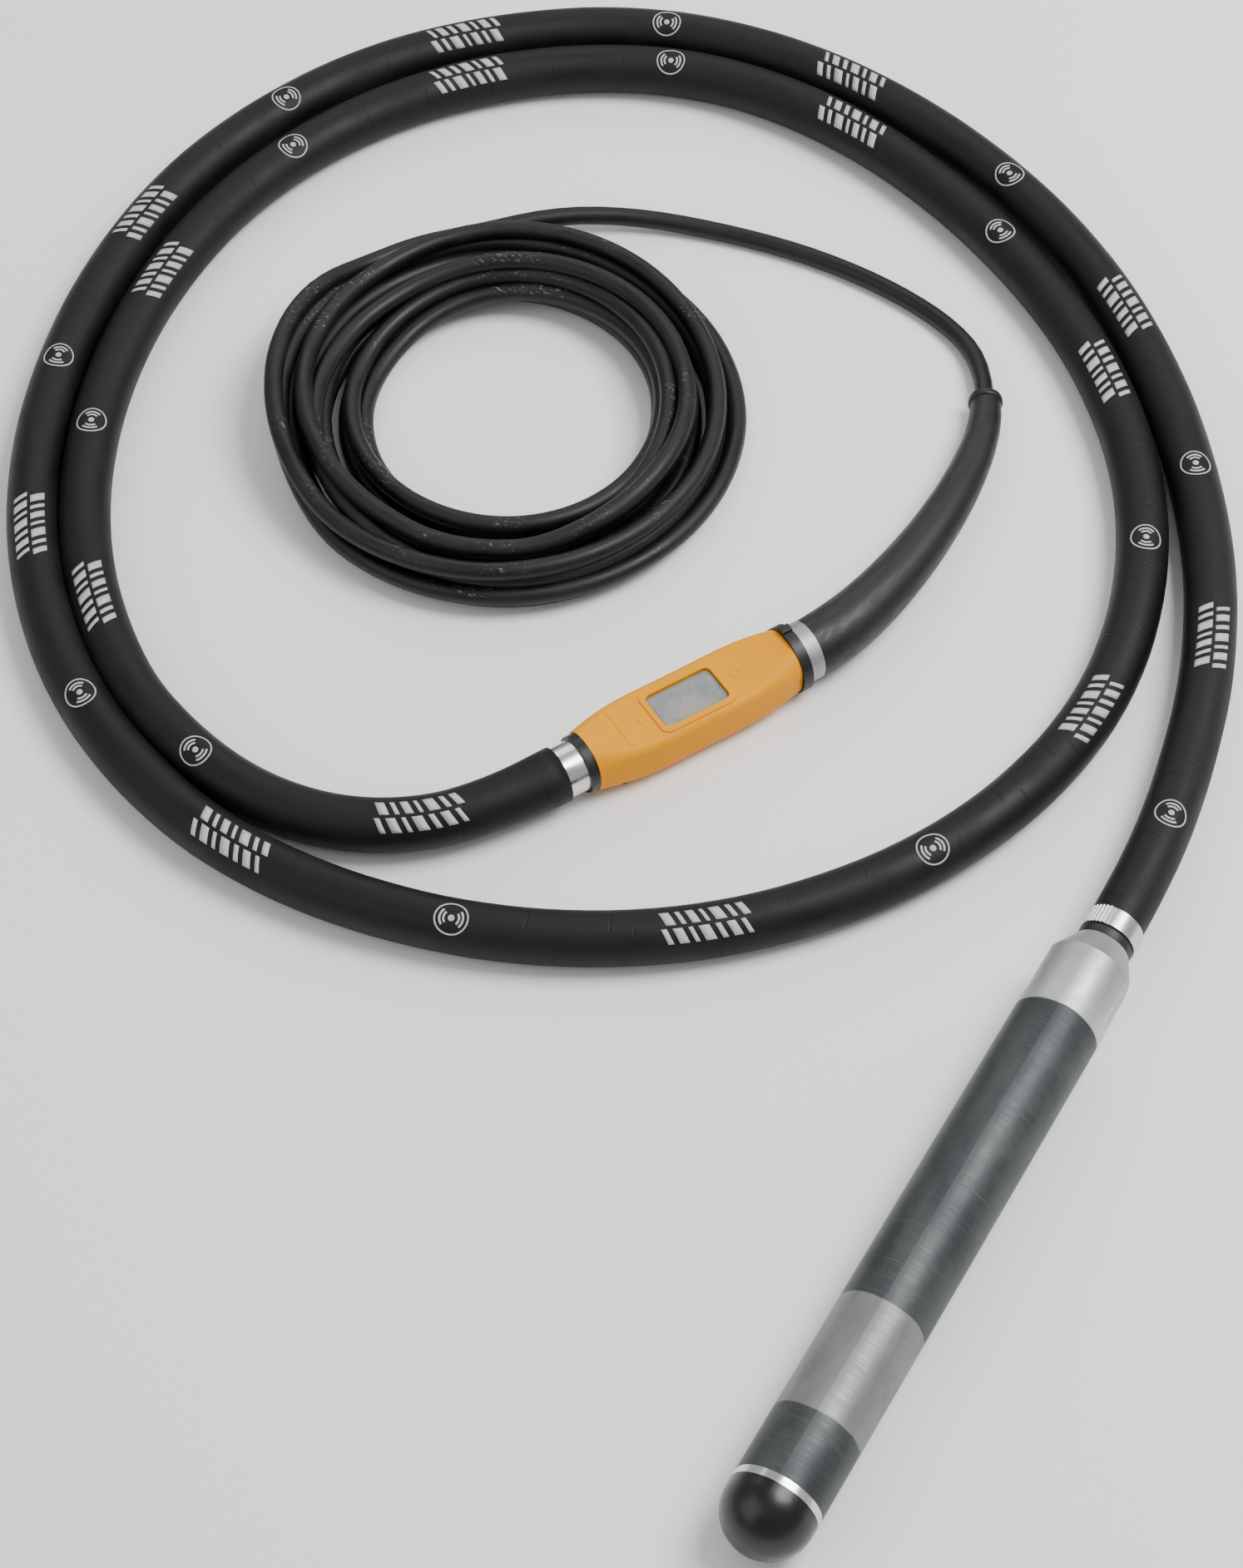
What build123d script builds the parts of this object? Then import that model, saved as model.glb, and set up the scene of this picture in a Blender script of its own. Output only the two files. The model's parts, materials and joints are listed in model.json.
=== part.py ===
"""Hand-held high-frequency concrete vibrator: a poker head with its own motor, a protective hose
laid in two loops, a switch housing with a bend relief, and a coiled supply cable.

Millimetres. +Z is up and the floor is at Z = 0. The poker head lies along +X, tip forward.
"""
import os
from math import cos, radians, sin, tan

from build123d import *

# ---- driving dimensions -------------------------------------------------------------------
HEAD_D = 45.0               # outer diameter of the poker head
HOSE_D = 28.8               # outer diameter of the protective hose
HOSE_BORE = 19.2            # bore of the protective hose
CABLE_D = 10.7              # outer diameter of the supply cable
MOTOR_LEAD_D = 9.0          # lead that runs inside the protective hose

HEAD_Y = 145.0              # the head's axis lies along X at this Y
HEAD_R = HEAD_D / 2
HEAD_BORE_R = 18.0
SPIGOT_R = HEAD_BORE_R - 0.02

# stations along the head's axis
X_CLAMP = -43.0             # rear edge of the band clamp
X_CUFF = -32.0              # hose end, rubber ring starts
X_NECK = -26.0              # small end of the neck's cone
X_FULL = -11.0              # neck reaches full diameter
X_JOINT = 27.0              # neck screws into the tube here
X_TUBE_END = 315.0
X_TIP = 319.0
X_END = X_TIP + 4.5 + HEAD_R
NECK_R = 15.0
NIPPLE_R = HOSE_BORE / 2
LEAD_BORE_R = 5.8

# motor and eccentric
SHAFT_R = 6.0
SHAFT_END_R = 5.0
STATOR = (78.0, 156.0)
ROTOR_R = 9.0
AIR_GAP = 0.35
WEIGHT = (198.0, 288.0)
WEIGHT_R = 15.5
RUN_GAP = 0.02              # radial running clearance
BEARING_W = 8.0
# name: (first station, bore radius, outer radius, ball radius, number of balls)
BEARINGS = {
    "rear": (52.0, 5.0, 13.0, 2.38, 7),
    "middle": (178.0, 6.0, 14.0, 2.38, 8),
    "front": (302.0, 5.0, 13.0, 2.38, 7),
}

# switch housing, in its own directions: u along its axis towards the cable, v across
HOUSING_AT = (-59.0, -110.0)
HOUSING_TURN = 152.0
AXIS_Z = 19.1               # height of hose, housing and gland axis
HOUSING_HALF = 62.5
PARTING_Z = 8.0
HOUSING_TOP = 31.0
CAVITY = (100.0, 31.0, 5.0, 27.8)          # length, width, floor and ceiling heights
SPIGOT_SMALL_R = 7.0
RING_LEFT = (-67.5, -62.5, 16.0)           # u from, u to, radius
RING_RIGHT = (62.5, 68.5, 18.9)
HOSE_END_U = -79.0
GLAND_END_U = 77.5
GLAND_R = 16.5
WINDOW = (40.0, 23.5, 3.5)                 # length, width, corner radius
FRAME = (46.0, 30.5, 5.0)
WINDOW_V = -1.0
ROCKER_Z = 20.0
ROCKER_TILT = 8.0

# bend relief
RELIEF_BASE_R = 16.3
RELIEF_END_R = 8.7
RELIEF_LENGTH_STEPS = 8
COLLAR_R = 9.8
COLLAR_LENGTH = 5.0

# coil of supply cable
COIL_AT = (-200.0, -307.0)
COIL_RADII = (150.0, 137.0)
COIL_TURN = 29.7
COIL_HOLE_AT = (-197.0, -295.0)
COIL_HOLE_R = 74.0
COIL_HEIGHT = 33.0

# route of the protective hose, from the head to the switch housing
HOSE_ROUTE = [
    (-32, 145, 22.5), (-78, 145, 22.5), (-146, 136, 17), (-228, 116, 14.5), (-311, 78, 14.5),
    (-401, 11, 14.5), (-475, -76, 14.5), (-523, -182, 14.5), (-540, -295, 14.5), (-519, -395, 14.5),
    (-460, -477, 14.5), (-382, -536, 14.5), (-269, -569, 14.5), (-142, -557, 14.5),
    (-19, -507, 14.5), (76, -422, 14.5), (127, -318, 14.5), (135, -216, 14.5), (107, -107, 14.5),
    (43, -12, 14.5), (-58, 58, 14.5), (-180, 82, 14.5), (-303, 48, 14.5), (-400, -29, 14.5),
    (-466, -131, 14.5), (-503, -241, 14.5), (-502, -344, 14.5), (-453, -436, 14.5),
    (-367, -505, 14.5), (-254, -536, 14.5), (-127, -522, 14.5), (-12, -468, 14.5), (66, -388, 14.5),
    (95, -315, 14.5), (99, -257, 15.0), (84, -208, 16.5), (50.9, -168.4, 19.1),
    (10.8, -147.1, 19.1),
]

# route of the supply cable, from the relief's collar to the coil
CABLE_ROUTE = [
    (-345, -75, 9.9), (-371, -89, 7.2), (-391, -119, 5.5), (-401, -165, 5.5), (-402, -217, 5.5),
    (-394, -269, 5.5), (-378, -319, 8), (-351, -359, 13),
]

# ---- reference planes and axes --------------------------------------------------------------
HEAD_SECTION = Plane(origin=(0, HEAD_Y, HEAD_R), x_dir=(1, 0, 0), z_dir=(0, -1, 0))
HEAD_AXIS = Axis((0, HEAD_Y, HEAD_R), (1, 0, 0))
U_DIR = Vector(cos(radians(HOUSING_TURN)), sin(radians(HOUSING_TURN)), 0)
V_DIR = Vector(-sin(radians(HOUSING_TURN)), cos(radians(HOUSING_TURN)), 0)
HOUSING_FLOOR = Plane(origin=(*HOUSING_AT, 0), x_dir=U_DIR, z_dir=(0, 0, 1))
HOUSING_SECTION = Plane(
    origin=(*HOUSING_AT, AXIS_Z), x_dir=U_DIR, z_dir=V_DIR * -1
)
HOUSING_AXIS = Axis((*HOUSING_AT, AXIS_Z), U_DIR)
UPRIGHT = (Align.CENTER, Align.CENTER, Align.MIN)     # stands on its own base plane


def keep(part, label):
    """Name a finished piece and write it to its own file."""
    part.label = label
    export_step(part, f"parts/{label}.step")


def head_plane(x):
    """A plane across the head at station x, with its own x up and its normal along +X."""
    return Plane(origin=(x, HEAD_Y, HEAD_R), x_dir=(0, 0, 1), z_dir=(1, 0, 0))


def housing_plane(u, z=AXIS_Z):
    """A plane across the housing at station u, with its own y up and its normal along u."""
    centre = HOUSING_FLOOR.from_local_coords((u, 0, z))
    return Plane(origin=centre, x_dir=V_DIR, z_dir=U_DIR)


def turned(section, axis, *outlines):
    """A turned piece: closed outlines of (station, radius) revolved about the axis."""
    with BuildPart() as piece:
        with BuildSketch(section):
            for outline in outlines:
                with BuildLine():
                    Polyline(*outline, close=True)
                make_face()
        revolve(axis=axis)
    return piece.part


def ring_outline(start, end, inner, outer):
    """The outline of a plain ring between two stations."""
    return [(start, inner), (end, inner), (end, outer), (start, outer)]


def barbed(start, end, radius, height, count):
    """Points of a hose nipple's sawtooth, from start to end."""
    pitch = (end - start) / count
    points = []
    for tooth in range(count):
        foot = start + tooth * pitch
        points.append((foot, radius))
        points.append((foot + pitch * 0.15, radius - height))
    points.append((end, radius))
    return points


os.makedirs("parts", exist_ok=True)

# ==== poker head ================================================================================
head_tube = turned(
    HEAD_SECTION,
    HEAD_AXIS,
    [
        (X_JOINT, HEAD_BORE_R),
        (X_TUBE_END, HEAD_BORE_R),
        (X_TUBE_END, HEAD_R),
        (X_JOINT + 0.4, HEAD_R),
        (X_JOINT, HEAD_R - 0.4),
    ],
)
keep(head_tube, "head_tube")

# The neck: hose nipple, cone, wrench flats and the spigot that screws into the tube.
NIPPLE_START = -56.0
NECK_CAVITY = (8.0, 47.0, 14.0)
with BuildPart() as neck:
    with BuildSketch(HEAD_SECTION):
        with BuildLine():
            Polyline(
                (NIPPLE_START, LEAD_BORE_R),
                *barbed(NIPPLE_START, X_CUFF, NIPPLE_R, 0.5, 4),
                (X_NECK, NIPPLE_R),
                (X_NECK, NECK_R),
                (X_FULL, HEAD_R),
                (X_JOINT - 0.4, HEAD_R),
                (X_JOINT, HEAD_R - 0.4),
                (X_JOINT, SPIGOT_R),
                (X_JOINT + 7, SPIGOT_R),
                (X_JOINT + 7, SPIGOT_R - 1.8),
                (X_JOINT + 9.4, SPIGOT_R - 1.8),
                (X_JOINT + 9.4, SPIGOT_R),
                (NECK_CAVITY[1], SPIGOT_R),
                (NECK_CAVITY[1], NECK_CAVITY[2]),
                (NECK_CAVITY[0] + 8, NECK_CAVITY[2]),
                (NECK_CAVITY[0], LEAD_BORE_R),
                close=True,
            )
        make_face()
    revolve(axis=HEAD_AXIS)
    FLAT_HALF = 20.6
    FLAT_LENGTH = 48.0
    with BuildSketch(Plane.XY.offset(HEAD_R)):
        for side in (-1, 1):
            with Locations((X_NECK + FLAT_LENGTH / 2 - 4, HEAD_Y + side * (FLAT_HALF + 5))):
                Rectangle(FLAT_LENGTH, 10)
    extrude(amount=HEAD_R, both=True, mode=Mode.SUBTRACT)
    fillet(neck.edges().filter_by(GeomType.CIRCLE).group_by(SortBy.RADIUS)[-1].sort_by(Axis.X)[0:1], 1.5)
keep(neck.part, "neck")


def o_ring(x, centre_radius, section_radius, label):
    """A seal ring around the head's axis."""
    with BuildPart() as seal:
        with BuildSketch(HEAD_SECTION):
            with Locations((x, centre_radius)):
                Circle(section_radius)
        revolve(axis=HEAD_AXIS)
    keep(seal.part, label)


SEAL_R = 0.88
o_ring(X_JOINT + 8.2, SPIGOT_R - SEAL_R, SEAL_R, "neck_seal")

with BuildPart() as neck_cuff:
    with BuildSketch(HEAD_SECTION):
        with Locations(((X_CUFF + X_NECK) / 2, (NIPPLE_R + 14.6) / 2)):
            Rectangle(X_NECK - X_CUFF, 14.6 - NIPPLE_R)
    revolve(axis=HEAD_AXIS)
    fillet(neck_cuff.edges().filter_by(GeomType.CIRCLE).sort_by(SortBy.RADIUS)[-2:], 1.2)
keep(neck_cuff.part, "neck_cuff")

# The crimped band around the hose end, with its fluted crimp and its lap.
BAND_INNER = HOSE_D / 2 + 0.02
BAND_THICK = 0.7
BAND_WIDTH = X_CUFF - X_CLAMP
with BuildPart() as band_clamp:
    with BuildSketch(head_plane(X_CLAMP)):
        Circle(BAND_INNER + BAND_THICK)
        with PolarLocations(BAND_INNER + BAND_THICK, 6, start_angle=14, angular_range=48):
            Circle(0.75)
        Circle(BAND_INNER, mode=Mode.SUBTRACT)
    extrude(amount=BAND_WIDTH)
    with BuildSketch(head_plane(X_CLAMP)):
        with PolarLocations(BAND_INNER + BAND_THICK, 1, start_angle=4):
            Rectangle(0.7, 0.35)
    extrude(amount=BAND_WIDTH, mode=Mode.SUBTRACT)
keep(band_clamp.part, "band_clamp")

tip_ring = turned(HEAD_SECTION, HEAD_AXIS, ring_outline(X_TUBE_END, X_TIP, HEAD_BORE_R, HEAD_R - 0.05))
keep(tip_ring, "tip_ring")

# The tip: a domed cap whose spigot screws into the tube and holds the front bearing.
TIP_SPIGOT = 300.0
FRONT_SEAT = BEARINGS["front"]
with BuildPart() as tip_cap:
    with BuildSketch(HEAD_SECTION):
        with BuildLine():
            seat_end = FRONT_SEAT[0] + BEARING_W
            Polyline(
                (X_END - 9, 0),
                (X_END - 9, 6),
                (seat_end, 6),
                (seat_end, FRONT_SEAT[2] + RUN_GAP),
                (TIP_SPIGOT, FRONT_SEAT[2] + RUN_GAP),
                (TIP_SPIGOT, SPIGOT_R),
                (TIP_SPIGOT + 8, SPIGOT_R),
                (TIP_SPIGOT + 8, SPIGOT_R - 1.8),
                (TIP_SPIGOT + 10.4, SPIGOT_R - 1.8),
                (TIP_SPIGOT + 10.4, SPIGOT_R),
                (X_TIP, SPIGOT_R),
                (X_TIP, HEAD_R),
                (X_END - HEAD_R, HEAD_R),
            )
            CenterArc((X_END - HEAD_R, 0), HEAD_R, 0, 90)
            Line((X_END, 0), (X_END - 9, 0))
        make_face()
    revolve(axis=HEAD_AXIS)
keep(tip_cap.part, "tip_cap")
o_ring(TIP_SPIGOT + 9.2, SPIGOT_R - SEAL_R, SEAL_R, "tip_seal")


def bearing(name, start, bore, outer, ball, count):
    """A deep-groove ball bearing: rings with ball grooves, a ball set and a cage."""
    pitch = (bore + outer) / 2
    middle = start + BEARING_W / 2
    shoulder = ball * 0.45
    for label, low, high in (
        (f"{name}_bearing_inner_ring", bore, pitch - shoulder),
        (f"{name}_bearing_outer_ring", pitch + shoulder, outer),
    ):
        with BuildPart() as race:
            with BuildSketch(HEAD_SECTION):
                with Locations((middle, (low + high) / 2)):
                    Rectangle(BEARING_W, high - low)
                with Locations((middle, pitch)):
                    Circle(ball + RUN_GAP, mode=Mode.SUBTRACT)
            revolve(axis=HEAD_AXIS)
        keep(race.part, label)
    with BuildPart(head_plane(middle)) as balls:
        with PolarLocations(pitch, count):
            Sphere(ball)
    keep(balls.part, f"{name}_bearing_balls")
    with BuildPart(head_plane(middle)) as cage:
        Cylinder(pitch + 0.9, 2 * ball + 1.2)
        Cylinder(pitch - 0.9, 2 * ball + 1.2, mode=Mode.SUBTRACT)
        with PolarLocations(pitch, count):
            Cylinder(ball + 0.1, 4, rotation=(0, 90, 0), mode=Mode.SUBTRACT)
    keep(cage.part, f"{name}_bearing_cage")


for bearing_name, sizes in BEARINGS.items():
    bearing(bearing_name, *sizes)

# Shields that hold the rear and middle bearings in the tube; the rear one lets the leads through.
with BuildPart() as rear_shield:
    with BuildSketch(HEAD_SECTION):
        with BuildLine():
            seat = BEARINGS["rear"]
            Polyline(
                (seat[0] - 3.5, 8),
                (seat[0], 8),
                (seat[0], seat[2] + RUN_GAP),
                (seat[0] + BEARING_W, seat[2] + RUN_GAP),
                (seat[0] + BEARING_W, SPIGOT_R),
                (seat[0] - 3.5, SPIGOT_R),
                close=True,
            )
        make_face()
    revolve(axis=HEAD_AXIS)
    with BuildSketch(head_plane(seat[0] - 3.5)):
        with PolarLocations(15.4, 3):
            Circle(1.4)
    extrude(amount=BEARING_W + 3.5, mode=Mode.SUBTRACT)
keep(rear_shield.part, "rear_bearing_shield")

seat = BEARINGS["middle"]
middle_shield = turned(
    HEAD_SECTION,
    HEAD_AXIS,
    [
        (seat[0] - 4, 9),
        (seat[0], 9),
        (seat[0], seat[2] + RUN_GAP),
        (seat[0] + BEARING_W, seat[2] + RUN_GAP),
        (seat[0] + BEARING_W, SPIGOT_R),
        (seat[0] - 4, SPIGOT_R),
    ],
)
keep(middle_shield, "middle_bearing_shield")

# The rotor: shaft, core, end rings, eccentric weight and its screws.
FIT = 0.01                  # shaft under bearing bores and cores
SHAFT_START = 51.0
SHAFT_STOP = 311.0
rotor_shaft = turned(
    HEAD_SECTION,
    HEAD_AXIS,
    [
        (SHAFT_START, 0),
        (SHAFT_START, SHAFT_END_R - 0.5 - FIT),
        (SHAFT_START + 0.5, SHAFT_END_R - FIT),
        (BEARINGS["rear"][0] + BEARING_W, SHAFT_END_R - FIT),
        (BEARINGS["rear"][0] + BEARING_W, SHAFT_R - FIT),
        (BEARINGS["front"][0], SHAFT_R - FIT),
        (BEARINGS["front"][0], SHAFT_END_R - FIT),
        (SHAFT_STOP - 0.5, SHAFT_END_R - FIT),
        (SHAFT_STOP, SHAFT_END_R - 0.5 - FIT),
        (SHAFT_STOP, 0),
    ],
)
keep(rotor_shaft, "rotor_shaft")

ROTOR_SLOTS = 16
SLOT_CIRCLE_R = ROTOR_R - 1.0
BAR_R = 0.55
with BuildPart() as rotor_core:
    with BuildSketch(head_plane(STATOR[0])):
        Circle(ROTOR_R)
        Circle(SHAFT_R, mode=Mode.SUBTRACT)
        with PolarLocations(SLOT_CIRCLE_R, ROTOR_SLOTS):
            Circle(BAR_R + FIT, mode=Mode.SUBTRACT)
    extrude(amount=STATOR[1] - STATOR[0])
keep(rotor_core.part, "rotor_core")

END_RING = 4.0
with BuildPart() as rotor_cage:
    for start in (STATOR[0] - END_RING, STATOR[1]):
        with BuildSketch(head_plane(start)):
            Circle(ROTOR_R - 0.2)
            Circle(SHAFT_R, mode=Mode.SUBTRACT)
        extrude(amount=END_RING)
    with BuildSketch(head_plane(STATOR[0])):
        with PolarLocations(SLOT_CIRCLE_R, ROTOR_SLOTS):
            Circle(BAR_R)
    extrude(amount=STATOR[1] - STATOR[0])
keep(rotor_cage.part, "rotor_cage")

WEIGHT_SCREWS = (WEIGHT[0] + 18, WEIGHT[1] - 18)
with BuildPart() as eccentric_weight:
    with BuildSketch(head_plane(WEIGHT[0])):
        Circle(WEIGHT_R)
        with Locations((WEIGHT_R + 2, 0)):
            Rectangle(2 * WEIGHT_R, 2 * WEIGHT_R + 2, mode=Mode.SUBTRACT)
        Circle(SHAFT_R + 3.2)
        Circle(SHAFT_R, mode=Mode.SUBTRACT)
    extrude(amount=WEIGHT[1] - WEIGHT[0])
    with Locations(*[head_plane(x) for x in WEIGHT_SCREWS]):
        with Locations(Location((-SHAFT_R - 5.5, 0, 0), (0, 90, 0))):
            Cylinder(2.02, 12, mode=Mode.SUBTRACT)
keep(eccentric_weight.part, "eccentric_weight")

with BuildPart() as weight_screws:
    with Locations(*[head_plane(x) for x in WEIGHT_SCREWS]):
        with Locations(Location((-SHAFT_R - 3.5, 0, 0), (0, -90, 0))):
            Cylinder(2.0, 6)
            with Locations((0, 0, 3)):
                Cylinder(1.0, 2.4, mode=Mode.SUBTRACT)
keep(weight_screws.part, "weight_screws")

# The stator: slotted core and the winding in its slots.
STATOR_SLOTS = 12
STATOR_SLOT_CIRCLE_R = 13.2
STATOR_SLOT_R = 2.3
with BuildPart() as stator_core:
    with BuildSketch(head_plane(STATOR[0])):
        Circle(SPIGOT_R)
        Circle(ROTOR_R + AIR_GAP, mode=Mode.SUBTRACT)
        with PolarLocations(STATOR_SLOT_CIRCLE_R, STATOR_SLOTS):
            Circle(STATOR_SLOT_R, mode=Mode.SUBTRACT)
    extrude(amount=STATOR[1] - STATOR[0])
keep(stator_core.part, "stator_core")

END_TURN = 11.0
with BuildPart() as stator_winding:
    for start in (STATOR[0] - END_TURN - 0.5, STATOR[1] + 0.5):
        with BuildSketch(head_plane(start)):
            Circle(16.2)
            Circle(10.8, mode=Mode.SUBTRACT)
        extrude(amount=END_TURN)
    fillet(stator_winding.edges().filter_by(GeomType.CIRCLE), 1.8)
    with BuildSketch(head_plane(STATOR[0] - 2.5)):
        with PolarLocations(STATOR_SLOT_CIRCLE_R, STATOR_SLOTS):
            Circle(STATOR_SLOT_R - 0.2)
    extrude(amount=STATOR[1] - STATOR[0] + 5)
keep(stator_winding.part, "stator_winding")

with BuildPart(Plane(origin=(63.4, HEAD_Y, HEAD_R + 14.0))) as thermal_cutout:
    Box(4.0, 7.0, 3.2)
    fillet(thermal_cutout.edges().filter_by(Axis.Y), 0.8)
keep(thermal_cutout.part, "thermal_cutout")


# ==== cords ======================================================================================
def arc_radii(route):
    """The largest radius for each corner of a route: 0.45 of the shorter run over tan(half turn)."""
    points = [Vector(*point) for point in route]
    runs = [after - before for before, after in zip(points, points[1:])]
    return [
        0.45 * min(first.length, second.length) / tan(radians(first.get_angle(second) / 2))
        for first, second in zip(runs, runs[1:])
    ]


def cord(route, outer, bore, label):
    """A round tube along straight runs joined by tangent arcs."""
    radii = arc_radii(route)
    with BuildPart() as tube:
        with BuildLine() as path:
            FilletPolyline(*route, radius=radii)
        spine = path.wires()[0]
        with BuildSketch(Plane(origin=spine @ 0, z_dir=spine % 0)):
            Circle(outer)
            if bore:
                Circle(bore, mode=Mode.SUBTRACT)
        sweep(path=spine)
    keep(tube.part, label)
    print(label, "length", round(spine.length, 1), "radii", [round(r) for r in radii])


cord(HOSE_ROUTE, HOSE_D / 2, HOSE_BORE / 2, "protective_hose")
LEAD_ROUTE = [(12, HEAD_Y, HEAD_R)] + HOSE_ROUTE[1:-1]
LEAD_ROUTE.append(tuple(HOUSING_FLOOR.from_local_coords((-44, 0, AXIS_Z))))
cord(LEAD_ROUTE, MOTOR_LEAD_D / 2, 0, "motor_lead")
cord(CABLE_ROUTE, CABLE_D / 2, 0, "supply_cable")

COIL_EDGE = 13.0
COIL_PLANE = Plane(origin=(*COIL_AT, 0), x_dir=(cos(radians(COIL_TURN)), sin(radians(COIL_TURN)), 0))
with BuildPart() as cable_coil:
    with BuildSketch(COIL_PLANE):
        Ellipse(*COIL_RADII)
    extrude(amount=COIL_HEIGHT)
    with BuildSketch(Plane.XY):
        with Locations(COIL_HOLE_AT):
            Circle(COIL_HOLE_R)
    extrude(amount=COIL_HEIGHT, mode=Mode.SUBTRACT)
    fillet(cable_coil.faces().sort_by(Axis.Z)[-1].edges(), COIL_EDGE)
    chamfer(cable_coil.faces().sort_by(Axis.Z)[0].edges(), 3)
keep(cable_coil.part, "cable_coil")

# ==== switch housing =============================================================================
# u, half width, bottom, top, top corner radius, bottom corner radius
HOUSING_SECTIONS = [
    (-HOUSING_HALF, 15.8, 3.2, 34.6, 12.5, 13.5),
    (-52, 17.2, 1.4, 33.4, 8.0, 13.5),
    (-36, 19.2, 0.2, 31.8, 5.0, 13.0),
    (0, 19.8, 0.0, HOUSING_TOP, 4.5, 13.0),
    (36, 19.6, 0.1, 31.6, 5.0, 13.0),
    (52, 18.2, 1.0, 33.6, 8.5, 13.5),
    (HOUSING_HALF, 16.8, 2.4, 35.6, 13.0, 14.0),
]
with BuildPart() as housing_form:
    for u, half, bottom, top, top_r, bottom_r in HOUSING_SECTIONS:
        with BuildSketch(housing_plane(u, 0)):
            with BuildLine():
                Line((-half + bottom_r, bottom), (half - bottom_r, bottom))
                CenterArc((half - bottom_r, bottom + bottom_r), bottom_r, -90, 90)
                Line((half, bottom + bottom_r), (half, top - top_r))
                CenterArc((half - top_r, top - top_r), top_r, 0, 90)
                Line((half - top_r, top), (-half + top_r, top))
                CenterArc((-half + top_r, top - top_r), top_r, 90, 90)
                Line((-half, top - top_r), (-half, bottom + bottom_r))
                CenterArc((-half + bottom_r, bottom + bottom_r), bottom_r, 180, 90)
            make_face()
    loft()

SCREW_SPOTS = [(u, v) for u in (-56, 56) for v in (-7.5, 7.5)]
SCREW_R = 1.5
SCREW_HEAD = (4.4, 2.2)                    # height of its underside, thickness
SCREW_SEAT = sum(SCREW_HEAD)
SEAL_WIDTH = 1.6
cavity_length, cavity_width, cavity_floor, cavity_ceiling = CAVITY
with BuildPart() as housing_hollow:
    add(housing_form.part)
    with BuildSketch(HOUSING_FLOOR.offset(cavity_floor)):
        RectangleRounded(cavity_length, cavity_width - 6, 4)
    extrude(amount=PARTING_Z - cavity_floor, mode=Mode.SUBTRACT)
    with BuildSketch(HOUSING_FLOOR.offset(PARTING_Z)):
        RectangleRounded(cavity_length, cavity_width, 4)
    extrude(amount=cavity_ceiling - PARTING_Z, mode=Mode.SUBTRACT)
    for u in (-HOUSING_HALF, HOUSING_HALF):
        with BuildSketch(housing_plane(u)):
            Circle(SPIGOT_SMALL_R + FIT)
        extrude(amount=14, both=True, mode=Mode.SUBTRACT)
    with BuildSketch(HOUSING_FLOOR.offset(PARTING_Z - 0.7)):
        RectangleRounded(cavity_length + 2 * SEAL_WIDTH + 1.0, cavity_width + 2 * SEAL_WIDTH - 1.0, 5)
        RectangleRounded(cavity_length + 1.0, cavity_width - 1.0, 4, mode=Mode.SUBTRACT)
    extrude(amount=1.4, mode=Mode.SUBTRACT)
    with Locations(HOUSING_FLOOR):
        with Locations(*[(u, v, 0) for u, v in SCREW_SPOTS]):
            Cylinder(SCREW_R + 0.05, 14.2, align=UPRIGHT, mode=Mode.SUBTRACT)
            Cylinder(3.0, SCREW_SEAT, align=UPRIGHT, mode=Mode.SUBTRACT)

with BuildPart() as housing_top:
    add(housing_hollow.part)
    split(bisect_by=Plane.XY.offset(PARTING_Z), keep=Keep.TOP)
    with BuildSketch(HOUSING_FLOOR.offset(HOUSING_TOP - 1)):
        with Locations((0, WINDOW_V)):
            RectangleRounded(*FRAME)
    extrude(amount=1.9)
    with BuildSketch(HOUSING_FLOOR.offset(cavity_ceiling - 1)):
        with Locations((0, WINDOW_V)):
            RectangleRounded(*WINDOW)
    extrude(amount=10, mode=Mode.SUBTRACT)
keep(housing_top.part, "housing_top")

with BuildPart() as housing_base:
    add(housing_hollow.part)
    split(bisect_by=Plane.XY.offset(PARTING_Z), keep=Keep.BOTTOM)
keep(housing_base.part, "housing_base")

with BuildPart() as housing_seal:
    with BuildSketch(HOUSING_FLOOR.offset(PARTING_Z - 0.65)):
        RectangleRounded(cavity_length + 2 * SEAL_WIDTH + 0.9, cavity_width + 2 * SEAL_WIDTH - 1.1, 5)
        RectangleRounded(cavity_length + 1.1, cavity_width - 0.9, 4, mode=Mode.SUBTRACT)
    extrude(amount=1.3)
keep(housing_seal.part, "housing_seal")

with BuildPart() as housing_screws:
    with Locations(HOUSING_FLOOR):
        with Locations(*[(u, v, SCREW_HEAD[0]) for u, v in SCREW_SPOTS]):
            Cylinder(2.8, SCREW_HEAD[1], align=UPRIGHT)
            Cylinder(1.3, 1.5, align=UPRIGHT, mode=Mode.SUBTRACT)
        with Locations(*[(u, v, SCREW_SEAT) for u, v in SCREW_SPOTS]):
            Cylinder(SCREW_R, 7.4, align=UPRIGHT)
keep(housing_screws.part, "housing_screws")

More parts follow.
